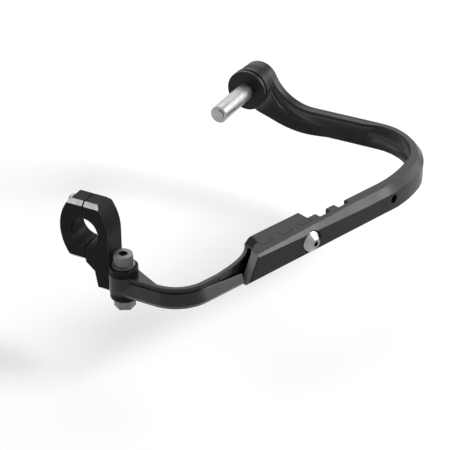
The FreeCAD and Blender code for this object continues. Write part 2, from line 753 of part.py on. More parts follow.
# Collar between the grip's end and the boss, with a narrower neck beside the boss
collar_outer = boss_inner - sit_gap
collar_inner = collar_outer - collar_width
neck_x = collar_outer - collar_neck_width
collar = ring(collar_radius, clearance_m8, V(collar_inner, 0, 0), V(collar_outer, 0, 0))
collar = collar.cut(ring(collar_radius + overshoot, collar_neck, V(neck_x, 0, 0),
                         V(collar_outer + overshoot, 0, 0)))
save(collar, "bar_end_collar")

# Sleeve inside the handlebar's end, and the wedge nut that meets it on a slanted face
sleeve_radius = tube_bore_radius - expander_fit
sleeve_outer = collar_inner - sit_gap
sleeve_inner = sleeve_outer - sleeve_length
nut_x = sleeve_inner - wedge_length
across = sleeve_radius + overshoot


def slant(x):
    """Everything inboard of the slanted face, which crosses the axis at x."""
    return prism([
        V(x - across, -across, across),
        V(x + across, -across, -across),
        V(nut_x - across, -across, -across),
        V(nut_x - across, -across, across),
    ], V(0, across * 2, 0))


slant_x = sleeve_inner + sleeve_radius
sleeve = ring(sleeve_radius, clearance_m8, V(sleeve_inner, 0, 0), V(sleeve_outer, 0, 0))
save(sleeve.cut(slant(slant_x)), "expander_sleeve")
wedge = ring(sleeve_radius, m8_radius + thread_gap, V(nut_x, 0, 0), V(sleeve_outer, 0, 0))
save(wedge.common(slant(slant_x - wedge_gap)), "expander_nut")

# Bar-end bolt in the boss's pocket, with its washer
washer_x = pocket_floor + sit_gap
save(ring(pocket_radius - head_clearance, clearance_m8, V(washer_x, 0, 0),
          V(washer_x + washer_thickness, 0, 0)), "bar_end_washer")
bar_seat = V(washer_x + washer_thickness + sit_gap, 0, 0)
save(cap_screw(m8_radius, m8_head_radius, m8_head_height, m8_key, bar_seat, -outboard,
               bar_seat.x - nut_x + bolt_past), "bar_end_bolt")
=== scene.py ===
"""Looks of a motorcycle handguard: two moulded arms, a bar clamp and a bar-end fixing.

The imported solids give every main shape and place. Each node is shown by a welded copy of itself
with even faces and crisp edges, apart from the collar, which is turned anew with its groove. The
boss gets its fine rings, the gusset its rounded rim and the socket heads their knurled bands, and
every finish is made of nodes. Lengths are metres.
"""

import json
import logging
import math
from dataclasses import dataclass
from enum import Enum

import bmesh
import bpy
from mathutils import Matrix, Vector

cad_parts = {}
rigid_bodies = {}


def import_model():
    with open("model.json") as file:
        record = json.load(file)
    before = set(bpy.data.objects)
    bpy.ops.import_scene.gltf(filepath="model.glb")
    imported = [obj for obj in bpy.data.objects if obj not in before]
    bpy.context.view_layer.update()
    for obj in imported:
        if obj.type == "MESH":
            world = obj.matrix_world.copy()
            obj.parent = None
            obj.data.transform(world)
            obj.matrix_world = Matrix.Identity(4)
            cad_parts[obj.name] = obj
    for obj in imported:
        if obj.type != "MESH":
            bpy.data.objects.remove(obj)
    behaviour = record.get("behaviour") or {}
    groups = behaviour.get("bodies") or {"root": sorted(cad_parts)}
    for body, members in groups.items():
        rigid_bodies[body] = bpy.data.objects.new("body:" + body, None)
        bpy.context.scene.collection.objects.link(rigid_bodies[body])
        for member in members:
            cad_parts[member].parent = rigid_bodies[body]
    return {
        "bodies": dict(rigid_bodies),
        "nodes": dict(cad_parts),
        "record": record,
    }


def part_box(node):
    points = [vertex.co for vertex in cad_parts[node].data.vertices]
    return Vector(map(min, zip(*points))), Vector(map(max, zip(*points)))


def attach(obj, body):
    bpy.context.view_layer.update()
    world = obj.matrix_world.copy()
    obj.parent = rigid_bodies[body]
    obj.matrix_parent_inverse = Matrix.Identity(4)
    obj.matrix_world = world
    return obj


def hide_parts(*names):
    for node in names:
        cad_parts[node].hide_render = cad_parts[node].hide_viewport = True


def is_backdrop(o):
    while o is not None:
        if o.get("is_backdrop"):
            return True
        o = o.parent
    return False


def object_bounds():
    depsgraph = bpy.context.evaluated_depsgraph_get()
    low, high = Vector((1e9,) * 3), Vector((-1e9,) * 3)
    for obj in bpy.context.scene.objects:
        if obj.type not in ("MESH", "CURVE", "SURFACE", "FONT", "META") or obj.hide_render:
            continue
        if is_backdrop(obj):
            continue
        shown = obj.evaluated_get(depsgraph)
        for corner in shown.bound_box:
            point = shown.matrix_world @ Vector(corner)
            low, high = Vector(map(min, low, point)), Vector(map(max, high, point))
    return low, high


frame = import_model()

LOG = logging.getLogger("handguard")
BODY = "root"
MM = 0.001
Colour = tuple[float, float, float, float]


class Effect(Enum):
    """Surface effects that several finishes share, each one a node group."""

    GRAIN = "moulded_grain"
    TONE = "cloudy_tone"
    WEAR = "edge_wear"
    # Settled dust, and a hollow mask for painted light.
    DUST_AND_HOLLOW_LIGHT = "settled_dust_and_hollow_light"
    LINES = "turned_lines"
    SOFT = "soft_edges"


class Sheen(Enum):
    """How glossy a moulding came out of its mould: roughness, and its spread."""

    SATIN = (0.30, 0.05)
    GLOSS = (0.27, 0.05)


def grey(level: float) -> Colour:
    """Returns an even grey of that linear level."""
    return (level, level, level, 1.0)


class Board:
    """Adds nodes to one tree and joins them.

    Args:
        tree: The node tree to work on.
    """

    def __init__(self, tree: bpy.types.NodeTree) -> None:
        """Keeps the tree."""
        self.tree = tree

    def add(self, kind: str, inputs: dict | None = None, **settings: object) -> bpy.types.Node:
        """Adds a node, sets it and joins its inputs.

        Args:
            kind: The node's type.
            inputs: Values, or the sockets to join, by the input's name or number.
            settings: The node's own properties.

        Returns:
            The new node.
        """
        node = self.tree.nodes.new(kind)
        for name, value in settings.items():
            setattr(node, name, value)
        for name, value in (inputs or {}).items():
            if isinstance(value, bpy.types.NodeSocket):
                self.tree.links.new(value, node.inputs[name])
            else:
                node.inputs[name].default_value = value
        return node

    def math(self, operation: str, *values: object) -> bpy.types.NodeSocket:
        """Adds a Math node on one or two values or sockets and returns its result."""
        return self.add("ShaderNodeMath", dict(enumerate(values)), operation=operation).outputs[0]

    def mix(self, factor: object, low: object, high: object) -> bpy.types.NodeSocket:
        """Mixes two colours by a factor and returns the colour."""
        colour_a, colour_b, colour_out = 6, 7, 2
        node = self.add("ShaderNodeMix", {0: factor, colour_a: low, colour_b: high}, data_type="RGBA")
        return node.outputs[colour_out]

    def spread(self, value: object, low: float, high: float, to_low: float = 0.0,
               to_high: float = 1.0) -> bpy.types.NodeSocket:
        """Maps a value from one range to another, clamped, and returns it."""
        inputs = {"Value": value, "From Min": low, "From Max": high, "To Min": to_low, "To Max": to_high}
        return self.add("ShaderNodeMapRange", inputs).outputs["Result"]


class EffectLibrary:
    """Builds each shared effect once, as a node group, and places it in materials."""

    @staticmethod
    def new_group(effect: Effect, inputs: dict[str, str], outputs: dict[str, str]) -> tuple:
        """Makes an empty group with its sockets.

        Args:
            effect: Which effect the group holds.
            inputs: Socket types by input name.
            outputs: Socket types by output name.

        Returns:
            The board, the group's input node and its output node.
        """
        tree = bpy.data.node_groups.new(effect.value, "ShaderNodeTree")
        for name, kind in inputs.items():
            tree.interface.new_socket(name, in_out="INPUT", socket_type=kind)
        for name, kind in outputs.items():
            tree.interface.new_socket(name, in_out="OUTPUT", socket_type=kind)
        board = Board(tree)
        return board, board.add("NodeGroupInput"), board.add("NodeGroupOutput")

    @classmethod
    def build(cls) -> None:
        """Builds every effect."""
        cls.grain()
        cls.tone()
        cls.wear()
        cls.dust()
        cls.lines()
        cls.soft()

    @classmethod
    def grain(cls) -> None:
        """The spark-eroded texture that a mould leaves: fine pits over a coarser ripple."""
        board, given, made = cls.new_group(
            Effect.GRAIN, {"Position": "NodeSocketVector", "Scale": "NodeSocketFloat"},
            {"Height": "NodeSocketFloat"})
        fine = board.add("ShaderNodeTexNoise", {"Vector": given.outputs["Position"],
                                                "Scale": given.outputs["Scale"], "Detail": 3.0})
        ripple = 0.22
        coarse_scale = board.math("MULTIPLY", given.outputs["Scale"], ripple)
        coarse = board.add("ShaderNodeTexNoise", {"Vector": given.outputs["Position"],
                                                  "Scale": coarse_scale, "Detail": 2.0})
        height = board.math("ADD", fine.outputs[0], coarse.outputs[0])
        board.tree.links.new(board.math("MULTIPLY", height, 0.5), made.inputs["Height"])

    @classmethod
    def tone(cls) -> None:
        """Slow, cloudy changes of shade."""
        board, given, made = cls.new_group(
            Effect.TONE, {"Position": "NodeSocketVector", "Scale": "NodeSocketFloat"},
            {"Tone": "NodeSocketFloat"})
        cloud = board.add("ShaderNodeTexNoise", {"Vector": given.outputs["Position"],
                                                 "Scale": given.outputs["Scale"], "Detail": 5.0})
        darkest, lightest = 0.3, 0.7
        tone = board.spread(cloud.outputs[0], darkest, lightest)
        board.tree.links.new(tone, made.inputs["Tone"])

    @classmethod
    def wear(cls) -> None:
        """A mask of the edges, broken up by noise, where a finish is rubbed."""
        board, given, made = cls.new_group(
            Effect.WEAR, {"Position": "NodeSocketVector", "Width": "NodeSocketFloat",
                          "Scale": "NodeSocketFloat"}, {"Mask": "NodeSocketFloat"})
        rounded = board.add("ShaderNodeBevel", {"Radius": given.outputs["Width"]}, samples=4)
        plain = board.add("ShaderNodeNewGeometry")
        facing = board.add("ShaderNodeVectorMath", {0: rounded.outputs[0], 1: plain.outputs["Normal"]},
                           operation="DOT_PRODUCT")
        flat, sharp = 0.99, 0.86
        edge = board.spread(facing.outputs["Value"], flat, sharp)
        patches = board.add("ShaderNodeTexNoise", {"Vector": given.outputs["Position"],
                                                   "Scale": given.outputs["Scale"], "Detail": 4.0})
        whole, rubbed = 0.38, 0.62
        broken = board.spread(patches.outputs[0], whole, rubbed)
        board.tree.links.new(board.math("MULTIPLY", edge, broken), made.inputs["Mask"])

    @classmethod
    def dust(cls) -> None:
        """A mask of the faces that look up, where fine dust settles, and a mask of the hollows for painted
        light that lifts their shade.
        """
        board, given, made = cls.new_group(
            Effect.DUST_AND_HOLLOW_LIGHT, {"Position": "NodeSocketVector", "Scale": "NodeSocketFloat"},
            {"Mask": "NodeSocketFloat", "Painted Hollow Light": "NodeSocketFloat"})
        plain = board.add("ShaderNodeNewGeometry")
        parts = board.add("ShaderNodeSeparateXYZ", {0: plain.outputs["Normal"]})
        steep, level = 0.35, 1.0
        upward = board.spread(parts.outputs["Z"], steep, level)
        specks = board.add("ShaderNodeTexNoise", {"Vector": given.outputs["Position"],
                                                  "Scale": given.outputs["Scale"], "Detail": 6.0})
        clean, dusty = 0.35, 0.75
        patchy = board.spread(specks.outputs[0], clean, dusty)
        board.tree.links.new(board.math("MULTIPLY", upward, patchy), made.inputs["Mask"])
        # Painted light: this mask finds hollows by ambient occlusion, so that a paler colour lifts the
        # shade in them.
        hollow_width = 9.0 * MM
        shallow, deep = 0.92, 0.35
        openness = board.add("ShaderNodeAmbientOcclusion", {"Distance": hollow_width}, samples=8)
        hollow_light = board.spread(openness.outputs["AO"], shallow, deep)
        board.tree.links.new(hollow_light, made.inputs["Painted Hollow Light"])

    @classmethod
    def lines(cls) -> None:
        """Tool marks of a lathe, round the local Z axis: they change with the radius and the height."""
        board, given, made = cls.new_group(
            Effect.LINES, {"Position": "NodeSocketVector", "Scale": "NodeSocketFloat"},
            {"Height": "NodeSocketFloat"})
        parts = board.add("ShaderNodeSeparateXYZ", {0: given.outputs["Position"]})
        flat = board.add("ShaderNodeCombineXYZ", {"X": parts.outputs["X"], "Y": parts.outputs["Y"]})
        radius = board.add("ShaderNodeVectorMath", {0: flat.outputs[0]}, operation="LENGTH")
        place = board.add("ShaderNodeCombineXYZ", {"X": radius.outputs["Value"], "Y": parts.outputs["Z"]})
        marks = board.add("ShaderNodeTexNoise", {"Vector": place.outputs[0],
                                                 "Scale": given.outputs["Scale"], "Detail": 2.0})
        board.tree.links.new(marks.outputs[0], made.inputs["Height"])

    @classmethod
    def soft(cls) -> None:
        """A normal that runs round the edges, as a small radius does."""
        board, given, made = cls.new_group(Effect.SOFT, {"Radius": "NodeSocketFloat"},
                                           {"Normal": "NodeSocketVector"})
        rounded = board.add("ShaderNodeBevel", {"Radius": given.outputs["Radius"]}, samples=4)
        board.tree.links.new(rounded.outputs[0], made.inputs["Normal"])

    @staticmethod
    def place(board: Board, effect: Effect, **inputs: object) -> bpy.types.Node:
        """Places a built effect in a material.

        Args:
            board: The material's board.
            effect: Which effect.
            inputs: Values or sockets by input name.

        Returns:
            The group node.
        """
        return board.add("ShaderNodeGroup", inputs, node_tree=bpy.data.node_groups[effect.value])


@dataclass(frozen=True)
class Finish:
    """What every finish has.

    Attributes:
        name: The material's name.
        edge_radius: Radius that its edges seem to have.
    """

    name: str
    edge_radius: float = 0.35 * MM

    def start(self) -> tuple[bpy.types.Material, Board, bpy.types.Node]:
        """Makes the material with its shader.

        Returns:
            The material, its board and its Principled shader.
        """
        material = bpy.data.materials.new(self.name)
        material.use_nodes = True
        material.node_tree.nodes.clear()
        board = Board(material.node_tree)
        shader = board.add("ShaderNodeBsdfPrincipled")
        board.add("ShaderNodeOutputMaterial", {"Surface": shader.outputs[0]})
        return material, board, shader

    def relief(self, board: Board, shader: bpy.types.Node, height: object, depth: float) -> None:
        """Joins a height, as bump over soft edges, to the shader.

        Args:
            board: The material's board.
            shader: The Principled shader.
            height: The height's socket.
            depth: How deep a height of 1 is.
        """
        soft = EffectLibrary.place(board, Effect.SOFT, Radius=self.edge_radius)
        bump = board.add("ShaderNodeBump", {"Height": height, "Distance": depth,
                                            "Normal": soft.outputs["Normal"]})
        board.tree.links.new(bump.outputs[0], shader.inputs["Normal"])


@dataclass(frozen=True)
class Moulding(Finish):
    """Filled black plastic as it comes out of its mould.

    Attributes:
        sheen: How glossy it is.
        dark: Its darkest shade.
        light: Its lightest shade.
        tone_scale: Clouds of shade for each metre.
        grain_scale: Pits for each metre.
        grain_depth: How deep the pits are.
        rubbed: The shade of its rubbed edges.
        wear_share: How far the edges are rubbed.
        wear_width: How far in from an edge it is rubbed.
        wear_scale: Rubbed patches for each metre.
        dust: The shade of settled dust.
        dust_share: How far dust pales it.
        dust_scale: Specks of dust for each metre.
        hollow_painted_light: A painted light: the paler shade laid into its shaded hollows.
        hollow_light_share: How far the painted light lifts the shade of its hollows.
        specular: How strongly it reflects.
    """

    sheen: Sheen = Sheen.SATIN
    dark: Colour = grey(0.006)
    light: Colour = grey(0.010)
    tone_scale: float = 45.0
    grain_scale: float = 1500.0
    grain_depth: float = 0.035 * MM
    rubbed: Colour = grey(0.06)
    wear_share: float = 0.2
    wear_width: float = 0.9 * MM
    wear_scale: float = 90.0
    dust: Colour = (0.075, 0.073, 0.070, 1.0)
    dust_share: float = 0.12
    dust_scale: float = 160.0
    hollow_painted_light: Colour = (0.24, 0.235, 0.228, 1.0)
    hollow_light_share: float = 0.0
    specular: float = 0.15

    def material(self) -> bpy.types.Material:
        """Builds the material and returns it."""
        material, board, shader = self.start()
        place = board.add("ShaderNodeTexCoord").outputs["Object"]
        cloud = EffectLibrary.place(board, Effect.TONE, Position=place, Scale=self.tone_scale)
        tone = cloud.outputs["Tone"]
        grain = EffectLibrary.place(board, Effect.GRAIN, Position=place, Scale=self.grain_scale)
        wear = EffectLibrary.place(board, Effect.WEAR, Position=place, Width=self.wear_width,
                                   Scale=self.wear_scale)
        dust = EffectLibrary.place(board, Effect.DUST_AND_HOLLOW_LIGHT, Position=place, Scale=self.dust_scale)
        colour = board.mix(tone, self.dark, self.light)
        dusty = board.math("MULTIPLY", dust.outputs["Mask"], self.dust_share)
        colour = board.mix(dusty, colour, self.dust)
        # Painted light: the hollows are made paler where ambient occlusion finds them, in place of light
        # that would reach into them.
        if self.hollow_light_share:
            lit_hollows = board.math("MULTIPLY", dust.outputs["Painted Hollow Light"], self.hollow_light_share)
            colour = board.mix(lit_hollows, colour, self.hollow_painted_light)
        rubbed = board.math("MULTIPLY", wear.outputs["Mask"], self.wear_share)
        colour = board.mix(rubbed, colour, self.rubbed)
        board.tree.links.new(colour, shader.inputs["Base Color"])
        middle, spread = self.sheen.value
        roughness = board.spread(tone, 0.0, 1.0, middle - spread, middle + spread)
        board.tree.links.new(roughness, shader.inputs["Roughness"])
        shader.inputs["Specular IOR Level"].default_value = self.specular
        self.relief(board, shader, grain.outputs["Height"], self.grain_depth)
        return material


@dataclass(frozen=True)
class CoatedMetal(Finish):
    """Machined metal under a thin dark coat that is rubbed through at its edges.

    Attributes:
        coat: The coat's shade.
        clouds: How many times lighter its clouds are.
        tone_scale: Clouds of shade for each metre.
        bare: The metal's shade.
        roughness: The coat's roughness.
        roughness_spread: How far the roughness goes up and down.
        blast_scale: Blasted pits for each metre.
        blast_depth: How deep the pits are.
        wear_share: How far its edges are rubbed through.
        wear_width: How far in from an edge it is rubbed.
        wear_scale: Rubbed patches for each metre.
        specular: How strongly the coat reflects.
    """

    coat: Colour = grey(0.004)
    clouds: float = 1.5
    tone_scale: float = 120.0
    bare: Colour = grey(0.40)
    roughness: float = 0.42
    roughness_spread: float = 0.06
    blast_scale: float = 3200.0
    blast_depth: float = 0.012 * MM
    wear_share: float = 0.3
    wear_width: float = 0.5 * MM
    wear_scale: float = 220.0
    specular: float = 0.06

    def material(self) -> bpy.types.Material:
        """Builds the material and returns it."""
        material, board, shader = self.start()
        place = board.add("ShaderNodeTexCoord").outputs["Object"]
        cloud = EffectLibrary.place(board, Effect.TONE, Position=place, Scale=self.tone_scale)
        tone = cloud.outputs["Tone"]
        blast = EffectLibrary.place(board, Effect.GRAIN, Position=place, Scale=self.blast_scale)
        wear = EffectLibrary.place(board, Effect.WEAR, Position=place, Width=self.wear_width,
                                   Scale=self.wear_scale)
        lighter = tuple(channel * self.clouds for channel in self.coat[:3]) + (1.0,)
        colour = board.mix(tone, self.coat, lighter)
        bared = board.math("MULTIPLY", wear.outputs["Mask"], self.wear_share)
        board.tree.links.new(board.mix(bared, colour, self.bare), shader.inputs["Base Color"])
        board.tree.links.new(bared, shader.inputs["Metallic"])
        roughness = board.spread(tone, 0.0, 1.0, self.roughness - self.roughness_spread,
                                 self.roughness + self.roughness_spread)
        board.tree.links.new(roughness, shader.inputs["Roughness"])
        shader.inputs["Specular IOR Level"].default_value = self.specular
        self.relief(board, shader, blast.outputs["Height"], self.blast_depth)
        return material


@dataclass(frozen=True)
class TurnedMetal(Finish):
    """Bare metal with the fine rings of a lathe round its own axis.

    Attributes:
        low: Its darker shade.
        high: Its lighter shade.
        roughness: Its roughness.
        smoother: How far its darker rings are smoother.
        rougher: How far its lighter rings are rougher.
        tone_scale: Clouds of shade for each metre.
        rings: Rings for each metre.
        depth: How deep the rings are.
        stretch: How far the rings draw a highlight out.
        point: A point on its axis.
        axis: The axis's direction.
    """

    low: Colour = grey(0.26)
    high: Colour = grey(0.38)
    roughness: float = 0.3
    smoother: float = 0.05
    rougher: float = 0.07
    tone_scale: float = 200.0
    rings: float = 2600.0
    depth: float = 0.01 * MM
    stretch: float = 0.5
    point: tuple[float, float, float] = (0.0, 0.0, 0.0)
    axis: tuple[float, float, float] = (0.0, 0.0, 1.0)

    def material(self) -> bpy.types.Material:
        """Builds the material and returns it."""
        material, board, shader = self.start()
        turn = Vector(self.axis).rotation_difference(Vector((0, 0, 1)))
        shift = turn @ -Vector(self.point)
        place = board.add("ShaderNodeTexCoord").outputs["Object"]
        local = board.add("ShaderNodeMapping", {"Vector": place, "Location": shift,
                                                "Rotation": turn.to_euler()}).outputs[0]
        lines = EffectLibrary.place(board, Effect.LINES, Position=local, Scale=self.rings)
        cloud = EffectLibrary.place(board, Effect.TONE, Position=place, Scale=self.tone_scale)
        both = board.math("ADD", cloud.outputs["Tone"], lines.outputs["Height"])
        shade = board.math("MULTIPLY", both, 0.5)
        board.tree.links.new(board.mix(shade, self.low, self.high), shader.inputs["Base Color"])
        dark_ring, light_ring = 0.2, 0.8
        roughness = board.spread(shade, dark_ring, light_ring, self.roughness - self.smoother,
                                 self.roughness + self.rougher)
        board.tree.links.new(roughness, shader.inputs["Roughness"])
        shader.inputs["Metallic"].default_value = 1.0
        shader.inputs["Anisotropic"].default_value = self.stretch
        reach = board.add("ShaderNodeVectorMath", {0: place, 1: self.point}, operation="SUBTRACT")
        around = board.add("ShaderNodeVectorMath", {0: self.axis, 1: reach.outputs[0]},
                           operation="CROSS_PRODUCT")
        board.tree.links.new(around.outputs[0], shader.inputs["Tangent"])
        self.relief(board, shader, lines.outputs["Height"], self.depth)
        return material


class PatternTree:
    """Geometry nodes that repeat one small form, or run a section along a line."""

    NAME = "pattern"
    SOCKETS: dict[str, str] = {}

    def __init__(self) -> None:
        """Builds the tree once."""
        self.tree = bpy.data.node_groups.new(self.NAME, "GeometryNodeTree")
        self.keys: dict[str, str] = {}
        for name, kind in {**self.SOCKETS, "Finish": "NodeSocketMaterial"}.items():
            socket = self.tree.interface.new_socket(name, in_out="INPUT", socket_type=kind)
            self.keys[name] = socket.identifier
        self.tree.interface.new_socket("Geometry", in_out="OUTPUT", socket_type="NodeSocketGeometry")
        board = Board(self.tree)
        given = board.add("NodeGroupInput").outputs
        real = board.add("GeometryNodeRealizeInstances", {"Geometry": self.pattern(board, given)})
        dressed = board.add("GeometryNodeSetMaterial", {"Geometry": real.outputs[0],
                                                        "Material": given["Finish"]})
        board.add("NodeGroupOutput", {"Geometry": dressed.outputs[0]})

    def pattern(self, board: Board, given: bpy.types.NodeOutputs) -> bpy.types.NodeSocket:
        """Adds the nodes that make the form.

        Args:
            board: The tree's board.
            given: The tree's inputs.

        Returns:
            The form, which may hold instances.
        """
        raise NotImplementedError

    def make(self, name: str, values: dict[str, object], place: Matrix) -> bpy.types.Object:
        """Makes one piece as a plain mesh in its place.

        Args:
            name: The piece's name.
            values: The tree's inputs by name.
            place: From the pattern's own frame, with Z along its axis, to the part's frame.

        Returns:
            The piece, at the origin.
        """
        holder = bpy.data.objects.new(name + "_holder", bpy.data.meshes.new(name + "_holder"))
        bpy.context.collection.objects.link(holder)
        modifier = holder.modifiers.new(self.NAME, "NODES")
        modifier.node_group = self.tree
        for key, value in values.items():
            modifier[self.keys[key]] = value
        mesh = plain_mesh(holder, name)
        mesh.transform(place)
        piece = bpy.data.objects.new(name, mesh)
        bpy.context.collection.objects.link(piece)
        bpy.data.objects.remove(holder)
        return piece


class KnurlTree(PatternTree):
    """A band of small ridges round a screw head."""

    NAME = "knurled_band"
    SOCKETS = {"Radius": "NodeSocketFloat", "Length": "NodeSocketFloat", "Ridges": "NodeSocketInt",
               "Depth": "NodeSocketFloat"}

    def pattern(self, board: Board, given: bpy.types.NodeOutputs) -> bpy.types.NodeSocket:
        """Sets square ridges, corner outward, round a circle and returns them."""
        circle = board.add("GeometryNodeMeshCircle", {
            "Vertices": given["Ridges"], "Radius": given["Radius"]})
        size = board.add("ShaderNodeCombineXYZ", {
            "X": given["Depth"], "Y": given["Depth"], "Z": given["Length"]})
        ridge = board.add("GeometryNodeMeshCube", {"Size": size.outputs[0]})
        place = board.add("GeometryNodeInputPosition").outputs[0]
        outward = board.add("FunctionNodeAlignRotationToVector", {"Vector": place}, axis="X",
                            pivot_axis="Z")
        corner = board.add("FunctionNodeAxisAngleToRotation", {"Axis": (0, 0, 1), "Angle": math.pi / 4})
        on_edge = board.add("FunctionNodeRotateRotation",
                            {"Rotation": outward.outputs[0], "Rotate By": corner.outputs[0]},
                            rotation_space="LOCAL")
        band = board.add("GeometryNodeInstanceOnPoints", {
            "Points": circle.outputs[0], "Instance": ridge.outputs["Mesh"], "Rotation": on_edge.outputs[0]})
        return band.outputs[0]


class RingTree(PatternTree):
    """A row of fine rings round one axis."""

    NAME = "fine_rings"
    SOCKETS = {"Radius": "NodeSocketFloat", "Wire": "NodeSocketFloat", "Rings": "NodeSocketInt",
               "Pitch": "NodeSocketFloat"}

    def pattern(self, board: Board, given: bpy.types.NodeOutputs) -> bpy.types.NodeSocket:
        """Sets thin rings along a line and returns them."""
        ring_steps, wire_sides = 128, 8
        circle = board.add("GeometryNodeCurvePrimitiveCircle", {
            "Resolution": ring_steps, "Radius": given["Radius"]})
        wire = board.add("GeometryNodeCurvePrimitiveCircle", {
            "Resolution": wire_sides, "Radius": given["Wire"]})
        ring = board.add("GeometryNodeCurveToMesh", {"Curve": circle.outputs[0],
                                                     "Profile Curve": wire.outputs[0]})
        step = board.add("ShaderNodeCombineXYZ", {"Z": given["Pitch"]})
        line = board.add("GeometryNodeMeshLine", {"Count": given["Rings"], "Offset": step.outputs[0]})
        row = board.add("GeometryNodeInstanceOnPoints", {
            "Points": line.outputs[0], "Instance": ring.outputs[0]})
        return row.outputs[0]


class RimTree(PatternTree):
    """A rounded rim that follows a curved line and thins out towards its end."""

    NAME = "rounded_rim"
    SOCKETS = {"Start": "NodeSocketVector", "Start Handle": "NodeSocketVector",
               "End Handle": "NodeSocketVector", "End": "NodeSocketVector", "Radius": "NodeSocketFloat"}

    def pattern(self, board: Board, given: bpy.types.NodeOutputs) -> bpy.types.NodeSocket:
        """Runs a round section, thinner and thinner, along the line and returns the rim."""
        ends = {name: given[name] for name in ("Start", "Start Handle", "End Handle", "End")}
        steps, sides, tip = 32, 16, 0.001
        bow = board.add("GeometryNodeCurvePrimitiveBezierSegment", {"Resolution": steps, **ends})
        line = board.add("GeometryNodeResampleCurve", {"Curve": bow.outputs[0], "Count": steps + 1})
        run = board.add("GeometryNodeSplineParameter").outputs["Factor"]
        left = board.spread(run, 0.0, 1.0, 1.0, tip)
        section = board.add("GeometryNodeCurvePrimitiveCircle", {
            "Resolution": sides, "Radius": given["Radius"]})
        rim = board.add("GeometryNodeCurveToMesh", {
            "Curve": line.outputs[0], "Profile Curve": section.outputs[0],
            "Scale": board.math("SQRT", left), "Fill Caps": True})
        return board.add("GeometryNodeSetShadeSmooth", {"Geometry": rim.outputs[0]}).outputs[0]


def plain_mesh(source: bpy.types.Object, name: str) -> bpy.types.Mesh:
    """Turns an object with its modifiers into a plain mesh.

    Args:
        source: The object.
        name: The mesh's name.

    Returns:
        The new mesh.
    """
    graph = bpy.context.evaluated_depsgraph_get()
    mesh = bpy.data.meshes.new_from_object(source.evaluated_get(graph), depsgraph=graph)
    mesh.name = name
    return mesh


def welded(node: str, name: str, crease: float,
           cutter: bpy.types.Object | None = None) -> bpy.types.Object:
    """Makes a copy of a node with its corners merged, even faces and crisp edges.

    Args:
        node: The node's name.
        name: The copy's name.
        crease: Edges that turn by more than this stay crisp, in radians.
        cutter: What is cut away from the copy, if anything.

    Returns:
        The copy, at the origin.
    """
    weld_distance = 0.002 * MM
    shape = bmesh.new()
    shape.from_mesh(frame["nodes"][node].data)
    bmesh.ops.remove_doubles(shape, verts=shape.verts, dist=weld_distance)
    bmesh.ops.dissolve_degenerate(shape, edges=shape.edges, dist=weld_distance)
    for face in shape.faces:
        face.smooth = True
        face.material_index = 0
    mesh = bpy.data.meshes.new(name)
    shape.to_mesh(mesh)
    shape.free()
    if "custom_normal" in mesh.attributes:
        mesh.attributes.remove(mesh.attributes["custom_normal"])
    copy = bpy.data.objects.new(name, mesh)
    bpy.context.collection.objects.link(copy)
    if cutter:
        cut = copy.modifiers.new("cut", "BOOLEAN")
        cut.object = cutter
        cut.solver = "EXACT"
        copy.data = plain_mesh(copy, name)
        copy.modifiers.clear()
        bpy.data.objects.remove(cutter)
    copy.data.set_sharp_from_angle(angle=crease)
    even = copy.modifiers.new("even_faces", "WEIGHTED_NORMAL")
    even.keep_sharp = True
    copy.data = plain_mesh(copy, name)
    copy.modifiers.clear()
    return copy


def turned(name: str, profile: list[tuple[float, float]], crease: float,
           steps: int = 128) -> bpy.types.Object:
    """Turns a closed profile round the X axis.

    Args:
        name: The piece's name.
        profile: Corners as distance along X and radius.
        crease: Edges that turn by more than this stay crisp, in radians.
        steps: Steps of the turn.

    Returns:
        The piece, at the origin.
    """
    angles = [2 * math.pi * step / steps for step in range(steps)]
    corners = [(along, radius * math.cos(angle), radius * math.sin(angle))
               for along, radius in profile for angle in angles]
    count = len(profile)
    faces = []
    for row in range(count):
        below = (row + 1) % count * steps
        for step in range(steps):
            after = (step + 1) % steps
            faces.append((row * steps + step, row * steps + after, below + after, below + step))
    mesh = bpy.data.meshes.new(name)
    mesh.from_pydata(corners, [], faces)
    shape = bmesh.new()
    shape.from_mesh(mesh)
    bmesh.ops.recalc_face_normals(shape, faces=shape.faces)
    shape.to_mesh(mesh)
    shape.free()
    mesh.shade_smooth()
    mesh.set_sharp_from_angle(angle=crease)
    piece = bpy.data.objects.new(name, mesh)
    bpy.context.collection.objects.link(piece)
    return piece


@dataclass(frozen=True)
class KnurledBand:
    """The knurled band round a socket head.

    Attributes:
        height: Height of the band.
        drop: Top of the head to the middle of the band.
        ridges: Ridges round the head.
        ridge: Width of a ridge.
    """

    height: float
    drop: float
    ridges: int
    ridge: float

    def values(self, head_radius: float, finish: bpy.types.Material) -> dict[str, object]:
        """Works out the knurl tree's inputs, with the ridges sunk into the head.

        Args:
            head_radius: Radius of the head.
            finish: The head's material.

        Returns:
            The inputs by name.
        """
        sunk = self.ridge / 4
        return {"Radius": head_radius - sunk, "Length": self.height, "Ridges": self.ridges,
                "Depth": self.ridge, "Finish": finish}


def along_axis(axis: tuple[float, float, float], point: Vector) -> Matrix:
    """Returns the place of a frame at a point with its Z along an axis."""
    turn = Vector((0, 0, 1)).rotation_difference(Vector(axis))
    return Matrix.Translation(point) @ turn.to_matrix().to_4x4()


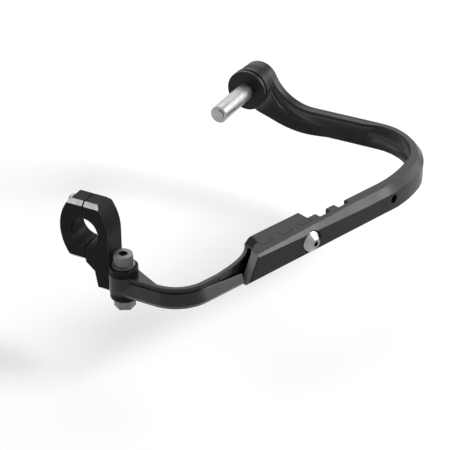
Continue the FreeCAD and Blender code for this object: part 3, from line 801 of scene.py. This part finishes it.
@dataclass
class Assembly:
    """One sub-assembly: it shows its nodes and dresses them.

    Attributes:
        crease: Edges that turn by more than this stay crisp, in radians.
    """

    crease: float = math.radians(28.0)

    def show(self, node: str, slot: str, *materials: bpy.types.Material,
             cutter: bpy.types.Object | None = None) -> bpy.types.Object:
        """Shows a node by its welded copy.

        Args:
            node: The node's name.
            slot: The record's material slot; not used.
            materials: The copy's materials, the first one for every face.
            cutter: What is cut away from the copy, if anything.

        Returns:
            The copy, riding on the part.
        """
        piece = welded(node, node + "_finished", self.crease, cutter)
        piece.data.materials.clear()
        for material in materials:
            piece.data.materials.append(material)
        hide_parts(node)
        self.carry(piece, slot)
        return piece

    @staticmethod
    def carry(piece: bpy.types.Object, slot: str) -> None:
        """Lets a piece ride on the part and reports it."""
        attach(piece, BODY)
        LOG.info("%s: %d faces", piece.name, len(piece.data.polygons))


@dataclass
class GuardArms(Assembly):
    """The outer arm with its bend and bar, and the inner arm that carries it.

    Attributes:
        boss_radius: Radius of the boss at the bar's end.
        ring_lead: From the boss's inboard face to its first fine ring.
        ring_pitch: From one ring to the next.
        ring_wire: Half the width of a ring.
        rings: How many rings.
        end_direction: Where the cut end of the front bar looks; that face is painted paler, a painted
            light.
        end_share: Least share of that direction in a face of the cut end.
        end_reach: How far outboard the cut end may lie.
        soft_start: Where the soft edges of the bend and the leg begin.
        block_start: Where the inner arm's satin block begins.
        rim_start: Where the rim of the gusset's ridge leaves the boss.
        rim_start_handle: What it heads for there.
        rim_end_handle: What it comes from at its tip.
        rim_end: Its tip on the leg.
        rim_radius: Radius of the rim at the boss.
        groove: Opposite corners of the groove's stretch beside the eye's web.
    """

    boss_radius: float = 15.5 * MM
    ring_lead: float = 2.6 * MM
    ring_pitch: float = 2.4 * MM
    ring_wire: float = 0.28 * MM
    rings: int = 3
    end_direction: tuple[float, float, float] = (-0.853, 0.307, 0.422)
    end_share: float = 0.97
    end_reach: float = 0.10
    soft_start: float = 0.225
    block_start: float = 0.050
    rim_start: tuple[float, float, float] = (249.6 * MM, -15.0 * MM, -4.6 * MM)
    rim_start_handle: tuple[float, float, float] = (251.4 * MM, -23.9 * MM, -20.9 * MM)
    rim_end_handle: tuple[float, float, float] = (253.0 * MM, -32.1 * MM, -25.4 * MM)
    rim_end: tuple[float, float, float] = (258.6 * MM, -60.0 * MM, -27.2 * MM)
    rim_radius: float = 1.8 * MM
    groove: tuple[tuple[float, float, float], ...] = (
        (-15.3 * MM, -59.0 * MM, -26.68 * MM), (-13.82 * MM, -53.2 * MM, -25.12 * MM))

    def build(self, ring_tree: RingTree, rim_tree: RimTree) -> None:
        """Shows and dresses both arms.

        Args:
            ring_tree: The tree that makes the fine rings on the boss.
            rim_tree: The tree that makes the rim of the gusset's ridge.
        """
        satin = Moulding("satin_black_moulding", edge_radius=0.5 * MM).material()
        gloss = Moulding("gloss_black_moulding", sheen=Sheen.GLOSS, grain_depth=0.012 * MM, wear_share=0.15,
                         dust_share=0.06, specular=0.26).material()
        # Painted light: the end face of the front bar gets a paler colour, standing in for the light that
        # falls on it.
        cut = Moulding("painted_lit_moulding_end", dark=grey(0.13), light=grey(0.18),
                       grain_depth=0.06 * MM).material()
        # This moulding lays painted light into its shaded hollows, such as the pocket by the gusset.
        soft = Moulding("soft_edged_black_moulding", edge_radius=0.7 * MM, hollow_light_share=0.8).material()
        outer = self.show("outer_arm", "arm_black", satin, cut, soft)
        lit_end_index, soft_index = 1, 2
        for face in outer.data.polygons:
            towards_end = face.normal.dot(Vector(self.end_direction))
            if face.center.x > self.soft_start:
                face.material_index = soft_index
            elif face.center.x < self.end_reach and towards_end > self.end_share:
                face.material_index = lit_end_index
        inner = self.show("inner_arm", "arm_gloss_black", gloss, satin, cutter=self.groove_cutter())
        block_index = 1
        for face in inner.data.polygons:
            if face.center.x > self.block_start:
                face.material_index = block_index
        boss_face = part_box("bar_end_collar")[1].x
        place = along_axis((1.0, 0.0, 0.0), Vector((boss_face + self.ring_lead, 0.0, 0.0)))
        row = ring_tree.make("boss_fine_rings", {
            "Radius": self.boss_radius, "Wire": self.ring_wire, "Rings": self.rings,
            "Pitch": self.ring_pitch, "Finish": satin}, place)
        self.carry(row, "arm_black")
        rim = rim_tree.make("gusset_rim", {
            "Start": self.rim_start, "Start Handle": self.rim_start_handle,
            "End Handle": self.rim_end_handle, "End": self.rim_end,
            "Radius": self.rim_radius, "Finish": soft}, Matrix.Identity(4))
        self.carry(rim, "arm_black")

    def groove_cutter(self) -> bpy.types.Object:
        """Returns a block as wide as the inner arm's groove, where the eye's web meets it."""
        low, high = (Vector(corner) for corner in self.groove)
        shape = bmesh.new()
        place = Matrix.Translation((low + high) / 2) @ Matrix.Diagonal((*(high - low), 1.0))
        bmesh.ops.create_cube(shape, size=1.0, matrix=place)
        mesh = bpy.data.meshes.new("groove_cutter")
        shape.to_mesh(mesh)
        shape.free()
        cutter = bpy.data.objects.new("groove_cutter", mesh)
        bpy.context.collection.objects.link(cutter)
        return cutter


@dataclass
class JointFixing(Assembly):
    """The cone-headed bolt through the toothed joint, with its nut."""

    def build(self) -> None:
        """Shows and dresses the bolt and its nut."""
        low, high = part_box("joint_nut")
        centre = (low + high) / 2
        mounts = {mount["name"]: mount for mount in frame["record"]["mounts"]}
        axis = tuple(mounts["deflector_screw"]["axis"])
        polished = TurnedMetal("polished_steel_cone", low=grey(0.22), high=grey(0.34), roughness=0.2,
                               depth=0.004 * MM, stretch=0.85, point=tuple(centre), axis=axis)
        plated = TurnedMetal("plated_steel_joint", point=tuple(centre), axis=axis)
        self.show("joint_bolt", "polished_steel", polished.material())
        self.show("joint_nut", "plated_steel", plated.material())


@dataclass
class BarClamp(Assembly):
    """The two clamp halves and the screws that draw them together.

    Attributes:
        plane_share: Least share of X and of Z in the direction of a planed edge.
        head_radius: Radius of the screw heads.
        band: Their knurled bands.
    """

    plane_share: float = 0.6
    head_radius: float = 5.0 * MM
    band: KnurledBand = KnurledBand(height=3.6 * MM, drop=3.2 * MM, ridges=40, ridge=0.4 * MM)

    def build(self, knurl: KnurlTree) -> None:
        """Shows and dresses the halves and the screws.

        Args:
            knurl: The tree that makes the bands on the heads.
        """
        coated = CoatedMetal("black_coated_clamp").material()
        along = (0.0, 1.0, 0.0)
        planed = TurnedMetal("planed_bare_edge", low=grey(0.32), high=grey(0.42), roughness=0.32,
                             axis=along).material()
        planed_index = 1
        for node in ("clamp_front", "clamp_rear"):
            half = self.show(node, "clamp_black", coated, planed)
            for face in half.data.polygons:
                if min(abs(face.normal.x), abs(face.normal.z)) > self.plane_share:
                    face.material_index = planed_index
        low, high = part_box("clamp_screws")
        plated = TurnedMetal("plated_steel_screws", axis=along, stretch=0.0).material()
        self.show("clamp_screws", "plated_steel", plated)
        for name, height in (("upper", high.z - self.head_radius), ("lower", low.z + self.head_radius)):
            place = along_axis(along, Vector((0.0, high.y - self.band.drop, height)))
            band = knurl.make(name + "_screw_knurl", self.band.values(self.head_radius, plated), place)
            self.carry(band, "plated_steel")


@dataclass
class PivotFixing(Assembly):
    """The upright bolt through the clamp's ears and the inner arm's eye.

    Attributes:
        band: The knurled band on its head.
    """

    band: KnurledBand = KnurledBand(height=5.0 * MM, drop=4.2 * MM, ridges=44, ridge=0.55 * MM)

    def build(self, knurl: KnurlTree) -> None:
        """Shows and dresses the bolt, its washers and its nut.

        Args:
            knurl: The tree that makes the band on the head.
        """
        low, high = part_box("pivot_bolt")
        centre = (low + high) / 2
        radius = (high.x - low.x) / 2
        plated = TurnedMetal("dull_plated_steel_pivot", low=grey(0.10), high=grey(0.17), roughness=0.36,
                             point=tuple(centre)).material()
        for node in ("pivot_bolt", "pivot_washers", "pivot_nut"):
            self.show(node, "plated_steel", plated)
        place = Matrix.Translation((centre.x, centre.y, high.z - self.band.drop))
        band = knurl.make("pivot_bolt_knurl", self.band.values(radius, plated), place)
        self.carry(band, "plated_steel")


@dataclass
class BarEndFixing(Assembly):
    """The collar, bolt, washer, wedge nut and sleeve that hold the outer arm on the end of the bar.

    Attributes:
        bore: Radius of the collar's bore.
        neck: Radius of its neck, beside the boss.
        neck_width: Width of the neck.
        groove_lead: From the collar's inboard face to its groove.
        groove_width: Width of the groove.
        groove_depth: Depth of the groove.
        soft: How far the collar's corners are broken.
        band: The knurled band on the bolt's head.
    """

    bore: float = 4.2 * MM
    neck: float = 14.2 * MM
    neck_width: float = 1.6 * MM
    groove_lead: float = 3.4 * MM
    groove_width: float = 1.9 * MM
    groove_depth: float = 1.0 * MM
    soft: float = 0.5 * MM
    band: KnurledBand = KnurledBand(height=5.0 * MM, drop=4.2 * MM, ridges=44, ridge=0.5 * MM)

    def build(self, knurl: KnurlTree) -> None:
        """Shows and dresses the five pieces.

        Args:
            knurl: The tree that makes the band on the bolt's head.
        """
        along = (1.0, 0.0, 0.0)
        plated = TurnedMetal("plated_steel_bar_end", axis=along).material()
        bare = TurnedMetal("bare_aluminium_sleeve", low=grey(0.28), high=grey(0.36), roughness=0.42,
                           axis=along).material()
        self.collar()
        for node in ("bar_end_bolt", "bar_end_washer", "expander_nut"):
            self.show(node, "plated_steel", plated)
        self.show("expander_sleeve", "bare_aluminium", bare)
        low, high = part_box("bar_end_bolt")
        radius = (high.z - low.z) / 2
        place = along_axis(along, Vector((high.x - self.band.drop, 0.0, 0.0)))
        band = knurl.make("bar_end_bolt_knurl", self.band.values(radius, plated), place)
        self.carry(band, "plated_steel")

    def collar(self) -> None:
        """Turns the collar with its groove, its neck and its broken corners."""
        low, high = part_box("bar_end_collar")
        radius, start, end = (high.z - low.z) / 2, low.x, high.x
        soft, floor = self.soft, radius - self.groove_depth
        neck_x = end - self.neck_width
        groove = start + self.groove_lead
        past = groove + self.groove_width
        piece = turned("bar_end_collar_turned", [
            (start, self.bore), (start, radius - soft), (start + soft, radius),
            (groove - soft, radius), (groove, radius - soft), (groove, floor),
            (past, floor), (past, radius - soft), (past + soft, radius),
            (neck_x - soft, radius), (neck_x, radius - soft), (neck_x, self.neck),
            (end, self.neck), (end, self.bore)], self.crease)
        piece.data.materials.append(Moulding("black_collar", grain_depth=0.02 * MM).material())
        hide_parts("bar_end_collar")
        self.carry(piece, "collar_black")


@dataclass
class Lamp:
    """One soft lamp that looks at the part.

    Attributes:
        name: Its name.
        direction: From the part to the lamp.
        distance: How far away it is.
        size: Side of its square.
        power: Its power in watts.
    """

    name: str
    direction: tuple[float, float, float]
    distance: float
    size: float
    power: float

    def build(self, target: Vector) -> None:
        """Makes the lamp.

        Args:
            target: The point that it looks at.
        """
        light = bpy.data.lights.new(self.name, "AREA")
        light.shape = "SQUARE"
        light.size = self.size
        light.energy = self.power
        lamp = bpy.data.objects.new(self.name, light)
        away = Vector(self.direction).normalized()
        lamp.location = target + away * self.distance
        lamp.rotation_euler = away.to_track_quat("Z", "Y").to_euler()
        bpy.context.collection.objects.link(lamp)


@dataclass
class Studio:
    """Floor, lamps, white surroundings and the camera.

    Attributes:
        floor_drop: Floor below the part's lowest point.
        floor_side: Side of the floor.
        floor_colour: The floor's colour.
        floor_lift: Light that the floor adds where the camera or a reflection sees it.
        ambient: Strength of the surroundings as light.
        azimuth: The camera's turn round the part, in degrees.
        elevation: The camera's height over the horizon, in degrees.
        camera_place: Where the camera stands.
        lens: Focal length, in millimetres on the sensor's width.
        sensor: The sensor's width, in millimetres.
    """

    floor_drop: float = 0.05
    floor_side: float = 12.0
    floor_colour: Colour = grey(0.86)
    floor_lift: float = 0.10
    ambient: float = 0.36
    azimuth: float = -62.4
    elevation: float = 31.5
    camera_place: tuple[float, float, float] = (-0.7305, -0.4862, 0.5360)
    lens: float = 119.2
    sensor: float = 36.0

    def build(self) -> None:
        """Builds the studio round the part."""
        low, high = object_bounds()
        centre = (low + high) / 2
        self.floor(low.z - self.floor_drop)
        self.surroundings()
        for lamp in (Lamp("front_softbox", (0.33, -0.785, 0.52), distance=2.6, size=0.85, power=54.0),
                     Lamp("right_softbox", (0.80, -0.52, 0.31), distance=2.6, size=1.2, power=18.0),
                     Lamp("back_softbox", (0.70, 0.40, 0.60), distance=2.8, size=2.4, power=22.0),
                     Lamp("side_softbox", (-0.46, 0.80, 0.38), distance=2.6, size=1.4, power=20.0),
                     Lamp("low_softbox", (-0.90, 0.40, 0.12), distance=2.6, size=0.7, power=17.0)):
            lamp.build(centre)
        self.camera()
        bpy.context.scene.view_settings.view_transform = "Standard"

    def floor(self, height: float) -> None:
        """Lays the pale floor.

        Args:
            height: Where it lies.
        """
        half = self.floor_side / 2
        corners = [(x, y, height) for x, y in ((-half, -half), (half, -half), (half, half), (-half, half))]
        mesh = bpy.data.meshes.new("floor")
        mesh.from_pydata(corners, [], [(0, 1, 2, 3)])
        material = bpy.data.materials.new("pale_floor")
        material.use_nodes = True
        board = Board(material.node_tree)
        shader = material.node_tree.nodes["Principled BSDF"]
        shader.inputs["Base Color"].default_value = self.floor_colour
        shader.inputs["Roughness"].default_value = 1.0
        shader.inputs["Specular IOR Level"].default_value = 0.0
        shader.inputs["Emission Color"].default_value = grey(1.0)
        lift = board.math("MULTIPLY", self.seen_rays(board), self.floor_lift)
        board.tree.links.new(lift, shader.inputs["Emission Strength"])
        mesh.materials.append(material)
        floor = bpy.data.objects.new("floor", mesh)
        bpy.context.collection.objects.link(floor)
        floor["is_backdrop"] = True

    @staticmethod
    def seen_rays(board: Board) -> bpy.types.NodeSocket:
        """Returns 1 for rays from the camera, a reflection or a clear piece."""
        path = board.add("ShaderNodeLightPath").outputs
        seen = board.math("MAXIMUM", path["Is Camera Ray"], path["Is Glossy Ray"])
        return board.math("MAXIMUM", seen, path["Is Transmission Ray"])

    def surroundings(self) -> None:
        """Makes the surroundings white to the eye and softer as light."""
        world = bpy.data.worlds.new("studio")
        bpy.context.scene.world = world
        world.use_nodes = True
        board = Board(world.node_tree)
        background = world.node_tree.nodes["Background"]
        background.inputs["Color"].default_value = grey(1.0)
        strength = board.spread(self.seen_rays(board), 0.0, 1.0, self.ambient, 1.0)
        board.tree.links.new(strength, background.inputs["Strength"])

    def camera(self) -> None:
        """Sets up the camera."""
        turn, tilt = math.radians(self.azimuth), math.radians(self.elevation)
        back = Vector((math.sin(turn) * math.cos(tilt), -math.cos(turn) * math.cos(tilt), math.sin(tilt)))
        right = Vector((math.cos(turn), math.sin(turn), 0.0))
        data = bpy.data.cameras.new("camera")
        data.lens = self.lens
        data.sensor_width = self.sensor
        camera = bpy.data.objects.new("camera", data)
        rotation = Matrix((right, back.cross(right), back)).transposed().to_4x4()
        camera.matrix_world = Matrix.Translation(self.camera_place) @ rotation
        bpy.context.collection.objects.link(camera)
        bpy.context.scene.camera = camera


def clear_stage() -> None:
    """Takes away whatever the empty scene came with, beside the part."""
    kept = set(frame["nodes"].values()) | set(frame["bodies"].values())
    for thing in list(bpy.data.objects):
        if thing not in kept:
            bpy.data.objects.remove(thing)


def main() -> None:
    """Builds the dressed handguard and its studio."""
    logging.basicConfig(level=logging.INFO, format="%(name)s: %(message)s")
    clear_stage()
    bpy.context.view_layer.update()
    EffectLibrary.build()
    knurl = KnurlTree()
    GuardArms().build(RingTree(), RimTree())
    JointFixing().build()
    BarClamp().build(knurl)
    PivotFixing().build(knurl)
    BarEndFixing().build(knurl)
    Studio().build()


if __name__ == "__main__":
    main()
